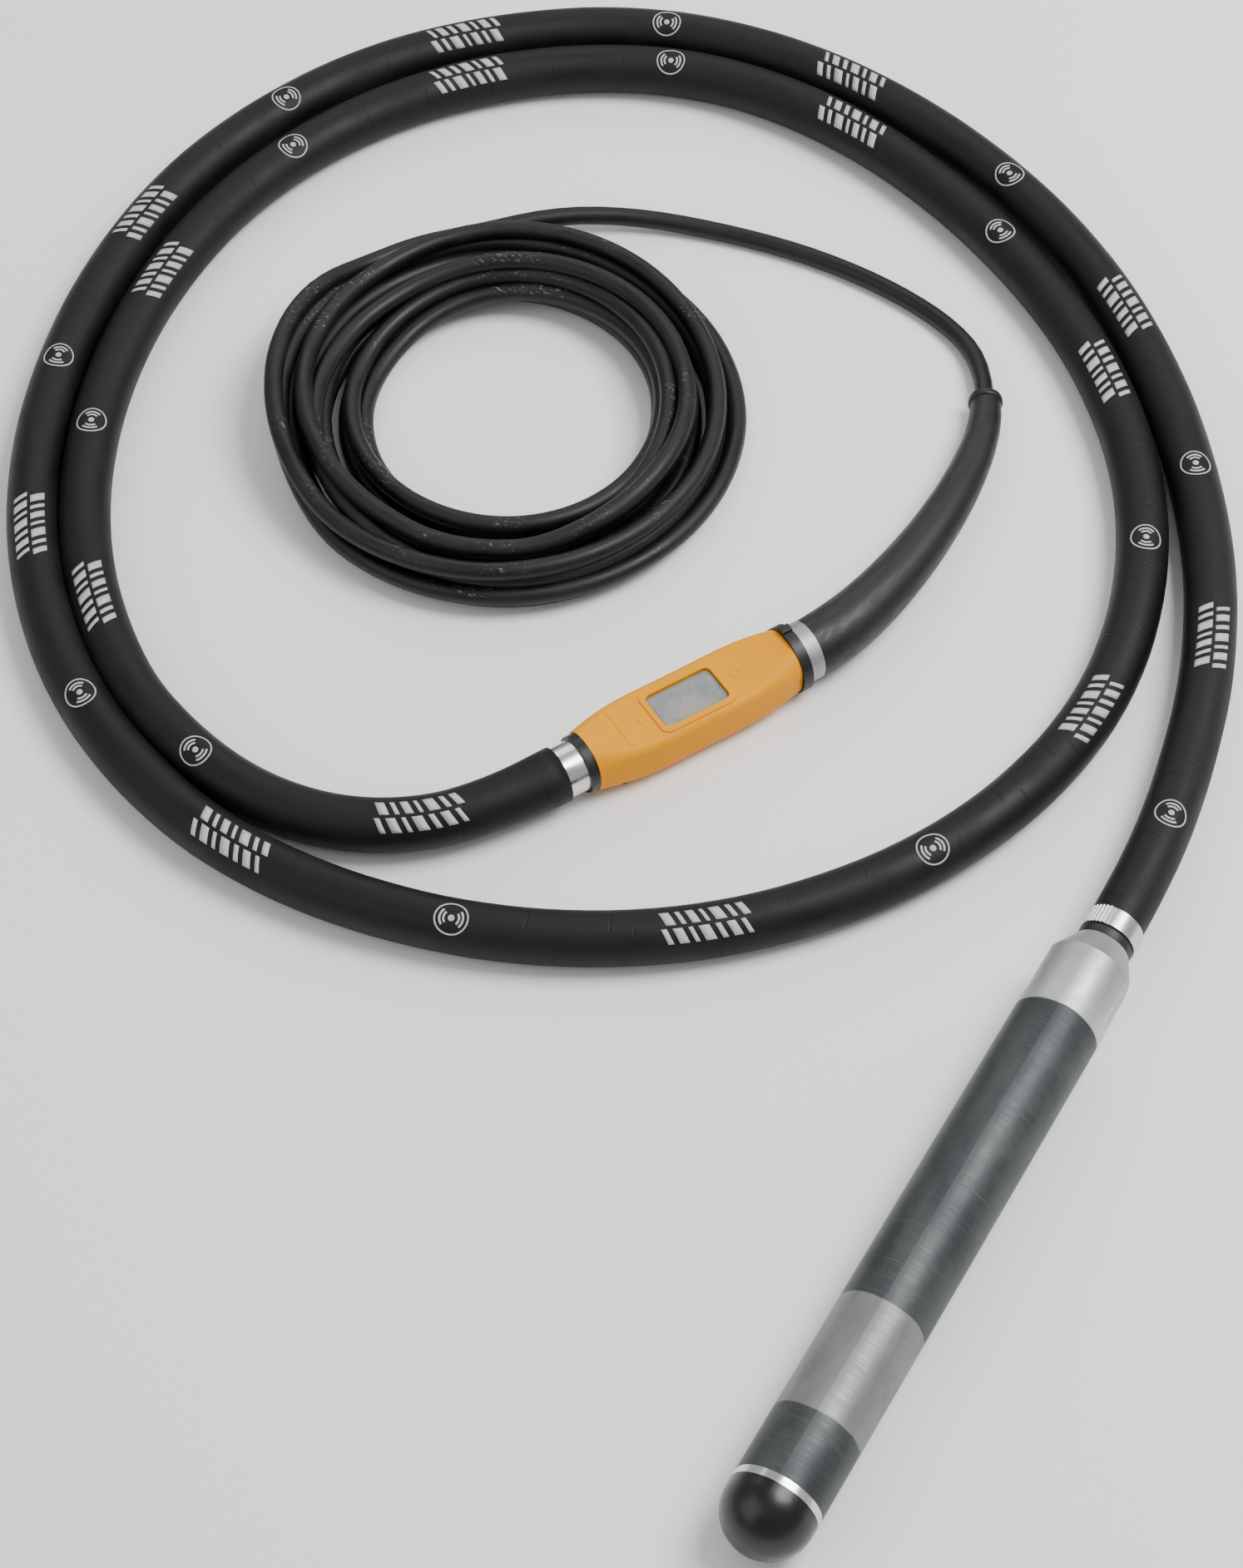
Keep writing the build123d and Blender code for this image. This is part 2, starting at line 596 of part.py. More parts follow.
# Milky membrane over the rocker: a flange under the ceiling and a low dome in the window.
MEMBRANE_GAP = 0.05
MEMBRANE_TOP = 30.4
with BuildPart() as switch_membrane:
    with BuildSketch(HOUSING_FLOOR.offset(cavity_ceiling - 1.4)):
        with Locations((0, WINDOW_V)):
            RectangleRounded(WINDOW[0] + 5, WINDOW[1] + 4, WINDOW[2] + 1)
    extrude(amount=1.4)
    with BuildSketch(HOUSING_FLOOR.offset(cavity_ceiling)):
        with Locations((0, WINDOW_V)):
            RectangleRounded(*[size - 2 * MEMBRANE_GAP for size in WINDOW[:2]], WINDOW[2])
    extrude(amount=MEMBRANE_TOP - cavity_ceiling)
    fillet(switch_membrane.faces().sort_by(Axis.Z)[-1].edges(), 1.2)
    with BuildSketch(HOUSING_FLOOR.offset(cavity_ceiling - 1.4)):
        with Locations((0, WINDOW_V)):
            RectangleRounded(WINDOW[0] - 4, WINDOW[1] - 4, WINDOW[2] - 1)
    extrude(amount=MEMBRANE_TOP - cavity_ceiling, mode=Mode.SUBTRACT)
keep(switch_membrane.part, "switch_membrane")

# The switch under the membrane: a body, a rocker and the pin it turns on.
SWITCH_SIZE = (36.0, 19.0)
POCKET = (24.4, 14.4)
SWITCH_TOP = 21.5
PIN_R = 1.0
ROCKER_WIDTH = 13.6
ROCKER_HALF = 11.0
ROCKER_PIVOT = HOUSING_FLOOR.from_local_coords((0, WINDOW_V, ROCKER_Z))
ROCKER_PLANE = Plane(origin=ROCKER_PIVOT, x_dir=U_DIR, z_dir=V_DIR * -1)
with BuildPart() as switch_body:
    with BuildSketch(HOUSING_FLOOR.offset(cavity_floor)):
        with Locations((0, WINDOW_V)):
            RectangleRounded(*SWITCH_SIZE, 1.5)
    extrude(amount=SWITCH_TOP - cavity_floor)
    with BuildSketch(HOUSING_FLOOR.offset(SWITCH_TOP)):
        with Locations((0, WINDOW_V)):
            Rectangle(*POCKET)
    extrude(amount=-8.5, mode=Mode.SUBTRACT)
    with BuildSketch(ROCKER_PLANE):
        Circle(PIN_R)
    extrude(amount=8.5, both=True, mode=Mode.SUBTRACT)
keep(switch_body.part, "switch_body")

with BuildPart() as rocker:
    with BuildSketch(ROCKER_PLANE):
        with BuildLine():
            Polyline(
                (-ROCKER_HALF, 4.6),
                (0, 3.1),
                (ROCKER_HALF, 4.6),
                (ROCKER_HALF, 0.5),
                (3, -2.4),
                (-3, -2.4),
                (-ROCKER_HALF, 0.5),
                close=True,
            )
        make_face()
    extrude(amount=ROCKER_WIDTH / 2, both=True)
    fillet(rocker.edges().filter_by(Axis((0, 0, 0), V_DIR)).sort_by(Axis.Z)[-2:], 0.8)
    with BuildSketch(ROCKER_PLANE):
        Circle(PIN_R + 0.04)
    extrude(amount=ROCKER_WIDTH, both=True, mode=Mode.SUBTRACT)
switch_rocker = rocker.part.rotate(Axis(ROCKER_PIVOT, V_DIR), ROCKER_TILT)
keep(switch_rocker, "switch_rocker")

with BuildPart() as rocker_pin:
    with BuildSketch(ROCKER_PLANE):
        Circle(PIN_R)
    extrude(amount=8.4, both=True)
keep(rocker_pin.part, "rocker_pin")

# Terminals beside the switch, and the saddle that grips the supply cable.
TERMINAL_U = 27.0
TERMINAL_V = (-5.0, 0.0, 5.0)
with BuildPart() as terminal_block:
    with BuildSketch(HOUSING_FLOOR.offset(cavity_floor)):
        with Locations((TERMINAL_U, 0)):
            RectangleRounded(12, 19, 1)
    extrude(amount=9)
    with Locations(HOUSING_FLOOR.offset(cavity_floor + 9)):
        with Locations(*[(TERMINAL_U, v) for v in TERMINAL_V]):
            Cylinder(1.8, 5, align=(Align.CENTER, Align.CENTER, Align.MAX), mode=Mode.SUBTRACT)
keep(terminal_block.part, "terminal_block")

with BuildPart() as terminal_screws:
    with Locations(HOUSING_FLOOR.offset(cavity_floor + 4.5)):
        with Locations(*[(TERMINAL_U, v) for v in TERMINAL_V]):
            Cylinder(1.7, 4.0, align=UPRIGHT)
    with Locations(HOUSING_FLOOR.offset(cavity_floor + 8.5)):
        with Locations(*[(TERMINAL_U, v) for v in TERMINAL_V]):
            Box(3.6, 0.6, 0.8, align=(Align.CENTER, Align.CENTER, Align.MAX), mode=Mode.SUBTRACT)
keep(terminal_screws.part, "terminal_screws")

GRIP_U = 39.0
GRIP_V = 10.0
with BuildPart() as cord_saddle:
    with BuildSketch(HOUSING_FLOOR.offset(cavity_floor)):
        with Locations((GRIP_U, 0)):
            Rectangle(6, 24)
    extrude(amount=AXIS_Z - 0.3 - cavity_floor)
    with BuildSketch(housing_plane(GRIP_U - 4)):
        Circle(CABLE_D / 2)
    extrude(amount=8, mode=Mode.SUBTRACT)
    with Locations(HOUSING_FLOOR.offset(AXIS_Z)):
        with Locations((GRIP_U, -GRIP_V + 1), (GRIP_U, GRIP_V - 1)):
            Cylinder(1.0, 10, mode=Mode.SUBTRACT)
keep(cord_saddle.part, "cord_saddle")

with BuildPart() as cord_clamp:
    with BuildSketch(housing_plane(GRIP_U - 3)):
        with BuildLine():
            Polyline(
                (-12, 0.3), (-12, 2.4), (-7.4, 2.4), (-5, 7.6),
                (5, 7.6), (7.4, 2.4), (12, 2.4), (12, 0.3), close=True,
            )
        make_face()
        Circle(CABLE_D / 2, mode=Mode.SUBTRACT)
    extrude(amount=6)
    with Locations(HOUSING_FLOOR.offset(AXIS_Z)):
        with Locations((GRIP_U, -GRIP_V + 1), (GRIP_U, GRIP_V - 1)):
            Cylinder(1.0, 10, mode=Mode.SUBTRACT)
keep(cord_clamp.part, "cord_clamp")

with BuildPart() as clamp_screws:
    with Locations(HOUSING_FLOOR.offset(AXIS_Z)):
        with Locations((GRIP_U, -GRIP_V + 1), (GRIP_U, GRIP_V - 1)):
            Cylinder(0.98, 7.2)
        with Locations((GRIP_U, -GRIP_V + 1, 2.4), (GRIP_U, GRIP_V - 1, 2.4)):
            Cylinder(1.6, 1.2, align=UPRIGHT)
keep(clamp_screws.part, "clamp_screws")

# ---- fittings at the two ends of the housing ----------------------------------------------------
nipple_inner = HOUSING_HALF - 16.0
hose_nipple = turned(
    HOUSING_SECTION,
    HOUSING_AXIS,
    [
        (HOSE_END_U - 22, LEAD_BORE_R),
        *barbed(HOSE_END_U - 22, HOSE_END_U, NIPPLE_R - 0.02, 0.5, 4),
        (HOSE_END_U, HOSE_D / 2 - 0.1),
        (RING_LEFT[0], HOSE_D / 2 - 0.1),
        (RING_LEFT[0], SPIGOT_SMALL_R),
        (-nipple_inner, SPIGOT_SMALL_R),
        (-nipple_inner, LEAD_BORE_R),
    ],
)
keep(hose_nipple, "hose_nipple")

gland_body = turned(
    HOUSING_SECTION,
    HOUSING_AXIS,
    [
        (nipple_inner, LEAD_BORE_R),
        (nipple_inner, SPIGOT_SMALL_R),
        (RING_RIGHT[1], SPIGOT_SMALL_R),
        (RING_RIGHT[1], GLAND_R - 0.5),
        (RING_RIGHT[1] + 0.5, GLAND_R),
        (GLAND_END_U, GLAND_R),
        (GLAND_END_U, 10.3),
        (GLAND_END_U + 11, 10.3),
        (GLAND_END_U + 12, 9.7),
        (GLAND_END_U + 12, LEAD_BORE_R + 0.4),
        (GLAND_END_U, LEAD_BORE_R),
    ],
)
keep(gland_body, "gland_body")

keep(
    turned(HOUSING_SECTION, HOUSING_AXIS, ring_outline(*RING_LEFT[:2], SPIGOT_SMALL_R, RING_LEFT[2])),
    "hose_side_gasket",
)

with BuildPart() as cable_side_gasket:
    with BuildSketch(housing_plane(RING_RIGHT[0])):
        Circle(RING_RIGHT[2])
        with Locations((5.5, 18.2)):
            RectangleRounded(5, 3.4, 0.8)
        Circle(SPIGOT_SMALL_R, mode=Mode.SUBTRACT)
    extrude(amount=RING_RIGHT[1] - RING_RIGHT[0])
keep(cable_side_gasket.part, "cable_side_gasket")

with BuildPart() as lock_nuts:
    for u in (-nipple_inner, nipple_inner - 3.4):
        with BuildSketch(housing_plane(u)):
            RegularPolygon(9.0, 6)
            Circle(SPIGOT_SMALL_R, mode=Mode.SUBTRACT)
        extrude(amount=3.4)
keep(lock_nuts.part, "lock_nuts")

# ---- bend relief: a tapered hose that curves down to the floor -------------------------------------
collar_start = Vector(*CABLE_ROUTE[0])
collar_heading = (Vector(*CABLE_ROUTE[1]) - collar_start).normalized()
relief_start = HOUSING_FLOOR.from_local_coords((GLAND_END_U, 0, AXIS_Z))
relief_end = collar_start - collar_heading * COLLAR_LENGTH
with BuildLine():
    relief_path = Spline(relief_start, relief_end, tangents=(U_DIR, collar_heading))


def relief_taper(share):
    """Outer radius along the relief: full for the first part, then an even taper."""
    return RELIEF_BASE_R - (RELIEF_BASE_R - RELIEF_END_R) * max(0.0, (share - 0.12) / 0.88)


with BuildPart() as bend_relief:
    for wall in ("outside", "bore"):
        for step in range(RELIEF_LENGTH_STEPS + 1):
            share = step / RELIEF_LENGTH_STEPS
            bore = 11.0 - (11.0 - 5.9) * max(0.0, (share - 0.12) / 0.88)
            with BuildSketch(Plane(origin=relief_path @ share, z_dir=relief_path % share)):
                Circle(relief_taper(share) if wall == "outside" else bore)
        loft(mode=Mode.ADD if wall == "outside" else Mode.SUBTRACT)
keep(bend_relief.part, "bend_relief")

with BuildPart() as relief_collar:
    with BuildSketch(Plane(origin=relief_end, z_dir=collar_heading)):
        Circle(COLLAR_R)
        Circle(5.6, mode=Mode.SUBTRACT)
    extrude(amount=COLLAR_LENGTH)
    fillet(relief_collar.edges().filter_by(GeomType.CIRCLE).sort_by(SortBy.RADIUS)[-2:], 1.6)
keep(relief_collar.part, "relief_collar")

# The supply cable's stretch inside the relief, from the terminals to the collar's mouth.
with BuildPart() as relief_cable:
    with BuildSketch(housing_plane(TERMINAL_U + 7)):
        Circle(CABLE_D / 2)
    extrude(amount=GLAND_END_U - TERMINAL_U - 7)
    for step in range(RELIEF_LENGTH_STEPS + 1):
        share = step / RELIEF_LENGTH_STEPS
        with BuildSketch(Plane(origin=relief_path @ share, z_dir=relief_path % share)):
            Circle(CABLE_D / 2)
    loft()
    with BuildSketch(Plane(origin=relief_end, z_dir=collar_heading)):
        Circle(CABLE_D / 2)
    extrude(amount=COLLAR_LENGTH)
keep(relief_cable.part, "relief_cable")

# ---- the far end of the supply cable, tucked under the coil ----------------------------------------
END_CAP_AT = (-128.0, -400.0, 6.6)
END_CAP_TURN = 36.0
with BuildPart() as cable_end_cap:
    cap_heading = Vector(cos(radians(END_CAP_TURN)), sin(radians(END_CAP_TURN)), 0)
    with BuildSketch(Plane(origin=END_CAP_AT, z_dir=cap_heading)):
        Circle(6.4)
    extrude(amount=26)
    fillet(cable_end_cap.edges().filter_by(GeomType.CIRCLE), 2.0)
keep(cable_end_cap.part, "cable_end_cap")
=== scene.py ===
"""Concrete vibrator on a pale floor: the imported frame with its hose, cable, prints and finishes.

Metres, in the frame's own directions: +Z up, the poker head along +X, the floor at Z = 0.
"""

import json
import math

import bpy
from mathutils import Matrix, Vector, noise
from mathutils.bvhtree import BVHTree


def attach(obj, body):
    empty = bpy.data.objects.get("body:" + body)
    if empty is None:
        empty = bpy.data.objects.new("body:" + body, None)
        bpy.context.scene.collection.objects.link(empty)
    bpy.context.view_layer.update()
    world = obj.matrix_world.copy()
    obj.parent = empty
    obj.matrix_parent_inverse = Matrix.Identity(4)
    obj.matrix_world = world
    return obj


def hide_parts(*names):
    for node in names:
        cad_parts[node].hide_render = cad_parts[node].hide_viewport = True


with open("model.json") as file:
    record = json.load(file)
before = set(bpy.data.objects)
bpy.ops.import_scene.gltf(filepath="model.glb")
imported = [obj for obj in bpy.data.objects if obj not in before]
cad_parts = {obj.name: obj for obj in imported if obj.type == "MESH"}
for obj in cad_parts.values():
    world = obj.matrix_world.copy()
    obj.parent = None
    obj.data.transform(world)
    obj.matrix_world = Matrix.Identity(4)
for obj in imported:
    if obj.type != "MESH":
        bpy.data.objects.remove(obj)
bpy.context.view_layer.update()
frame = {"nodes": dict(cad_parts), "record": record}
nodes = frame["nodes"]

UP = Vector((0, 0, 1))

# ---- camera --------------------------------------------------------------------------------
CAMERA_AT = Vector((0.9672, 0.4361, 1.4968))
CAMERA_LOOKS = Vector((-0.52281, -0.29808, -0.79864))
LENS_MM = 82.12
SENSOR_MM = 36

camera = bpy.data.objects.new("camera", bpy.data.cameras.new("camera"))
bpy.context.scene.collection.objects.link(camera)
camera.location = CAMERA_AT
camera.rotation_euler = CAMERA_LOOKS.to_track_quat("-Z", "Y").to_euler()
camera.data.lens = LENS_MM
camera.data.sensor_width = SENSOR_MM
camera.data.clip_start = 0.05
bpy.context.scene.camera = camera

# ---- the switch housing's own directions ------------------------------------------------------
HOUSING_AT = Vector((-0.059, -0.110, 0))
HOUSING_TURN = math.radians(152)
ALONG = Vector((math.cos(HOUSING_TURN), math.sin(HOUSING_TURN), 0))
ACROSS = Vector((-math.sin(HOUSING_TURN), math.cos(HOUSING_TURN), 0))


def housing_point(u, v, z):
    """A point of the housing: u along it towards the cable, v across it."""
    return HOUSING_AT + ALONG * u + ACROSS * v + UP * z


# ---- materials -------------------------------------------------------------------------------
# Noise scales are cells per metre, and bump depths are metres.
DISPLAY_GAMMA = 2.2


def srgb(red, green, blue):
    """A linear colour from its 0 to 255 display values."""
    return tuple((v / 255) ** DISPLAY_GAMMA for v in (red, green, blue)) + (1,)


class Finish:
    """A procedural material: its shader, and short names for the nodes that feed it."""

    def __init__(self, name, colour, roughness, metallic=0.0, **sockets):
        self.material = bpy.data.materials.new(name)
        self.material.use_nodes = True
        self.tree = self.material.node_tree
        self.shader = self.tree.nodes["Principled BSDF"]
        self.shader.inputs["Base Color"].default_value = colour
        self.shader.inputs["Roughness"].default_value = roughness
        self.shader.inputs["Metallic"].default_value = metallic
        for socket, value in sockets.items():
            self.shader.inputs[socket.replace("_", " ")].default_value = value
        self.height = None
        self.place = self.node("ShaderNodeTexCoord").outputs["Object"]

    def node(self, kind, **settings):
        made = self.tree.nodes.new(kind)
        for key, value in settings.items():
            setattr(made, key, value)
        return made

    def plug(self, source, target):
        self.tree.links.new(source, target)

    def value(self, target, source):
        """Feed a socket from another socket or set its number."""
        if isinstance(source, bpy.types.NodeSocket):
            self.plug(source, target)
        else:
            target.default_value = source

    def math(self, operation, first, second=0.0, third=0.0, clamp=False):
        made = self.node("ShaderNodeMath", operation=operation, use_clamp=clamp)
        for target, source in zip(made.inputs, (first, second, third)):
            self.value(target, source)
        return made.outputs[0]

    def stretched(self, scale, turn=(0, 0, 0)):
        """The object's own coordinates, turned and stretched."""
        made = self.node("ShaderNodeMapping")
        self.plug(self.place, made.inputs["Vector"])
        made.inputs["Rotation"].default_value = turn
        made.inputs["Scale"].default_value = scale
        return made.outputs[0]

    def noise(self, scale, detail=3.0, roughness=0.55, where=None):
        made = self.node("ShaderNodeTexNoise")
        self.plug(where or self.place, made.inputs["Vector"])
        made.inputs["Scale"].default_value = scale
        made.inputs["Detail"].default_value = detail
        made.inputs["Roughness"].default_value = roughness
        return made.outputs["Fac"]

    def span(self, source, low, high, to_low=0.0, to_high=1.0):
        """source from low to high, mapped to to_low to to_high and clamped."""
        made = self.node("ShaderNodeMapRange", interpolation_type="SMOOTHSTEP")
        self.plug(source, made.inputs["Value"])
        for key, number in zip(("From Min", "From Max", "To Min", "To Max"),
                               (low, high, to_low, to_high)):
            made.inputs[key].default_value = number
        return made.outputs[0]

    def mix(self, share, first, second):
        made = self.node("ShaderNodeMix", data_type="RGBA")
        self.value(made.inputs["Factor"], share)
        self.value(made.inputs["A"], first)
        self.value(made.inputs["B"], second)
        return made.outputs["Result"]

    def colour(self, source):
        self.plug(source, self.shader.inputs["Base Color"])
        return self

    def rough(self, source):
        self.plug(source, self.shader.inputs["Roughness"])
        return self

    def bump(self, source, distance, strength=1.0):
        """Add relief of that depth in metres to what is there."""
        made = self.node("ShaderNodeBump")
        made.inputs["Strength"].default_value = strength
        made.inputs["Distance"].default_value = distance
        self.plug(source, made.inputs["Height"])
        if self.height is not None:
            self.plug(self.height, made.inputs["Normal"])
        self.height = made.outputs[0]
        self.plug(self.height, self.shader.inputs["Normal"])
        return self

    def edge_wear(self):
        """1 along worn convex edges, 0 on flat faces, where the pointiness is 0.5."""
        point = self.node("ShaderNodeNewGeometry").outputs["Pointiness"]
        return self.span(point, 0.512, 0.572)


def moulded(name, colour, dark, roughness, grain=900.0, depth=0.00004):
    """Moulded rubber or plastic: fine grain, faint blotches and a dull film."""
    made = Finish(name, colour, roughness)
    blotch = made.noise(38, 4)
    made.colour(made.mix(made.span(blotch, 0.35, 0.7), colour, dark))
    made.rough(made.span(made.noise(60, 5), 0.3, 0.75, roughness - 0.07, roughness + 0.09))
    made.bump(made.noise(grain, 3), depth, 0.5)
    return made


def turned_metal(name, colour, roughness, spacing=900.0, direction=(1, 0, 0),
                 depth=0.00001, tint=0.85):
    """Turned or ground metal: fine lines crossing the given directions, with uneven polish."""
    made = Finish(name, colour, roughness, 1.0)
    scale = tuple(spacing if d else 6.0 for d in direction)
    lines = made.noise(1.0, 5, 0.65, made.stretched(scale))
    dark = tuple(c * tint for c in colour[:3]) + (1,)
    made.colour(made.mix(lines, dark, colour))
    made.rough(made.span(made.noise(45, 4), 0.3, 0.75, roughness - 0.06, roughness + 0.1))
    made.bump(lines, depth, 0.6)
    return made


SEAM_SPACING = 0.043            # from one seam of the hose's wrapping to the next
SEAM_LEAN = 0.012               # how far a seam moves along the hose in one lap
SEAM_WANDER = 0.022
SEAM_WIDTH = 0.0009


def hose_finish():
    """Cloth-wrapped rubber: matte, nearly black, with faint broken seams and dust."""
    made = Finish("hose_rubber", srgb(36, 36, 40), 0.6, Specular_IOR_Level=0.3)
    along = made.node("ShaderNodeUVMap", uv_map="route").outputs[0]
    split = made.node("ShaderNodeSeparateXYZ")
    made.plug(along, split.inputs[0])
    wander = made.math("MULTIPLY", made.noise(14, 3), SEAM_WANDER)
    slanted = made.math("MULTIPLY_ADD", split.outputs["Y"], SEAM_LEAN, split.outputs["X"])
    wrap = made.math("ADD", slanted, wander)
    to_seam = made.math("PINGPONG", wrap, SEAM_SPACING / 2)
    seam = made.span(to_seam, 0.0, SEAM_WIDTH, 1.0, 0.0)
    broken = made.span(made.noise(60, 2), 0.42, 0.56)
    seam = made.math("MULTIPLY", seam, broken)
    blotch = made.noise(24, 5)
    base = made.mix(made.span(blotch, 0.35, 0.7), srgb(15, 15, 17), srgb(23, 23, 25))
    dust = made.math("MULTIPLY", made.span(made.noise(220, 6, 0.7), 0.62, 0.8), 0.35)
    base = made.mix(dust, base, srgb(66, 66, 68))
    made.colour(made.mix(made.math("MULTIPLY", seam, 0.7), base, srgb(6, 6, 7)))
    made.rough(made.span(blotch, 0.3, 0.75, 0.5, 0.68))
    made.bump(made.noise(1500, 4), 0.00006, 0.45)
    made.bump(made.math("SUBTRACT", 1.0, seam), 0.00022, 0.7)
    made.bump(made.noise(30, 3), 0.0004, 0.35)
    return made


def cable_finish():
    """Rubber-sheathed cable: satin black with light scuffs where it has been dragged."""
    made = Finish("cable_rubber", srgb(30, 30, 32), 0.5, Specular_IOR_Level=0.36)
    blotch = made.noise(30, 5)
    base = made.mix(made.span(blotch, 0.35, 0.7), srgb(19, 19, 20), srgb(29, 29, 30))
    patches = made.span(made.noise(24, 2), 0.53, 0.62)
    scratches = made.span(made.noise(1.0, 6, 0.7, made.stretched((900, 240, 700))), 0.57, 0.66)
    scuff = made.math("MULTIPLY", patches, scratches)
    facing_up = made.node("ShaderNodeSeparateXYZ")
    made.plug(made.node("ShaderNodeNewGeometry").outputs["Normal"], facing_up.inputs[0])
    scuff = made.math("MULTIPLY", scuff, made.span(facing_up.outputs["Z"], 0.45, 0.8, 0.0, 0.62))
    made.colour(made.mix(scuff, base, srgb(150, 150, 150)))
    made.rough(made.span(blotch, 0.3, 0.75, 0.42, 0.6))
    made.bump(made.noise(1200, 3), 0.00004, 0.4)
    made.bump(made.noise(60, 2), 0.0003, 0.3)
    return made


def relief_finish():
    """Smooth moulded rubber with a soft sheen and faint streaks along it."""
    made = Finish("relief_rubber", srgb(34, 34, 36), 0.42, Specular_IOR_Level=0.5)
    streaks = made.noise(1.0, 4, 0.6, made.stretched((60, 240, 240), (0, 0, -HOUSING_TURN)))
    blotch = made.noise(28, 4)
    base = made.mix(made.span(blotch, 0.35, 0.7), srgb(12, 12, 13), srgb(22, 22, 23))
    made.colour(made.mix(made.span(streaks, 0.55, 0.8, 0.0, 0.4), base, srgb(34, 34, 35)))
    made.rough(made.span(streaks, 0.3, 0.7, 0.44, 0.6))
    made.bump(made.noise(900, 3), 0.00003, 0.4)
    return made


# stations along the head, between which the tube turns from dark to pale and back
PALE_STARTS = (0.2146, 0.2156)
PALE_ENDS = (0.2794, 0.2804)


def tube_finish():
    """Hardened tube: two dark zones and a paler one between, with fine lines round it."""
    made = Finish("hardened_steel", srgb(80, 86, 87), 0.46, 0.55)
    split = made.node("ShaderNodeSeparateXYZ")
    made.plug(made.place, split.inputs[0])
    station = made.math("ADD", split.outputs["X"], made.math("MULTIPLY", made.noise(60, 2), 0.0022))
    after_dark = made.span(station, *PALE_STARTS)
    before_dark = made.span(station, *PALE_ENDS, 1.0, 0.0)
    pale = made.math("MULTIPLY", after_dark, before_dark)
    lines = made.noise(1.0, 6, 0.7, made.stretched((1500, 34, 34)))
    strokes = made.span(lines, 0.52, 0.72)
    cloud = made.noise(1.0, 4, 0.6, made.stretched((22, 50, 50)))
    dark = made.mix(made.span(cloud, 0.3, 0.7), srgb(54, 59, 60), srgb(72, 77, 77))
    dark = made.mix(made.math("MULTIPLY", strokes, 0.3), dark, srgb(112, 117, 116))
    light = made.mix(made.span(cloud, 0.3, 0.7), srgb(112, 111, 114), srgb(132, 131, 133))
    light = made.mix(made.math("MULTIPLY", strokes, 0.22), light, srgb(120, 119, 121))
    made.colour(made.mix(pale, dark, light))
    made.rough(made.span(lines, 0.3, 0.75, 0.42, 0.58))
    made.bump(lines, 0.00003, 0.5)
    made.bump(made.noise(70, 3), 0.00006, 0.35)
    return made


def neck_finish():
    """Pale satin steel, lightly blasted."""
    made = Finish("neck_steel", srgb(178, 178, 180), 0.45, 0.7)
    cloud = made.noise(34, 4)
    base = made.mix(made.span(cloud, 0.3, 0.7), srgb(150, 150, 152), srgb(166, 166, 168))
    made.colour(made.mix(made.math("MULTIPLY", made.edge_wear(), 0.5), base, srgb(214, 214, 214)))
    made.rough(made.span(made.noise(80, 4), 0.3, 0.75, 0.4, 0.54))
    made.bump(made.noise(1.0, 4, 0.6, made.stretched((900, 60, 60))), 0.00002, 0.4)
    made.bump(made.noise(600, 3), 0.00003, 0.35)
    return made


def dome_finish():
    """Black oxide, semi-gloss, lightly rubbed by concrete."""
    made = Finish("black_steel", srgb(8, 8, 9), 0.3, 0.0, Coat_Weight=0.1, Coat_Roughness=0.25)
    rubbed = made.span(made.noise(90, 6, 0.7), 0.55, 0.8, 0.0, 0.5)
    made.colour(made.mix(rubbed, srgb(4, 4, 5), srgb(22, 22, 24)))
    made.rough(made.span(made.noise(70, 5), 0.3, 0.75, 0.26, 0.42))
    made.bump(made.noise(500, 4), 0.00005, 0.45)
    return made


# heights between which the painted shade on the yellow shell's lower part fades out
PAINTED_SHADE_HEIGHTS = (0.006, 0.024)


def shell_finish():
    """Cast yellow polyurethane: satin, finely pitted, with painted shade darkening it low down."""
    made = Finish("yellow_shell", (0.79, 0.31, 0.0, 1), 0.55, Specular_IOR_Level=0.1)
    cloud = made.noise(22, 4)
    base = made.mix(made.span(cloud, 0.3, 0.7), (0.76, 0.30, 0.0, 1), (0.82, 0.325, 0.0, 1))
    split = made.node("ShaderNodeSeparateXYZ")
    made.plug(made.place, split.inputs[0])
    # painted shade: the shell's colour is darkened towards its bottom, fading out by the upper height
    low = made.span(split.outputs["Z"], *PAINTED_SHADE_HEIGHTS, 0.45, 0.0)
    base = made.mix(low, base, (0.62, 0.22, 0.0, 1))
    smudge = made.math("MULTIPLY", made.span(made.noise(52, 6, 0.7), 0.6, 0.8), 0.16)
    made.colour(made.mix(smudge, base, (0.55, 0.2, 0.004, 1)))
    made.rough(made.span(made.noise(90, 4), 0.3, 0.75, 0.4, 0.54))
    made.bump(made.noise(1400, 3), 0.00003, 0.4)
    made.bump(made.noise(46, 3), 0.00022, 0.3)
    return made


def membrane_finish():
    """Milky silicone over the switch: cloudy, with a glossy skin."""
    made = Finish("milky_membrane", srgb(196, 202, 204), 0.24, Specular_IOR_Level=0.5,
                  Transmission_Weight=0.72, IOR=1.4, Coat_Weight=0.35, Coat_Roughness=0.12)
    cloud = made.noise(90, 4)
    made.colour(made.mix(made.span(cloud, 0.3, 0.7), srgb(198, 206, 210), srgb(230, 228, 218)))
    made.rough(made.span(made.noise(120, 3), 0.3, 0.75, 0.2, 0.34))
    made.bump(made.noise(110, 3), 0.0003, 0.5)
    return made


def print_finish():
    """Pale grey ink, slightly worn."""
    made = Finish("hose_print", srgb(176, 178, 180), 0.6)
    worn = made.span(made.noise(420, 5, 0.7), 0.5, 0.75, 0.0, 0.55)
    made.colour(made.mix(worn, srgb(182, 184, 186), srgb(118, 119, 122)))
    made.rough(made.span(made.noise(300, 3), 0.3, 0.75, 0.5, 0.7))
    made.bump(made.noise(900, 3), 0.00003, 0.4)
    return made


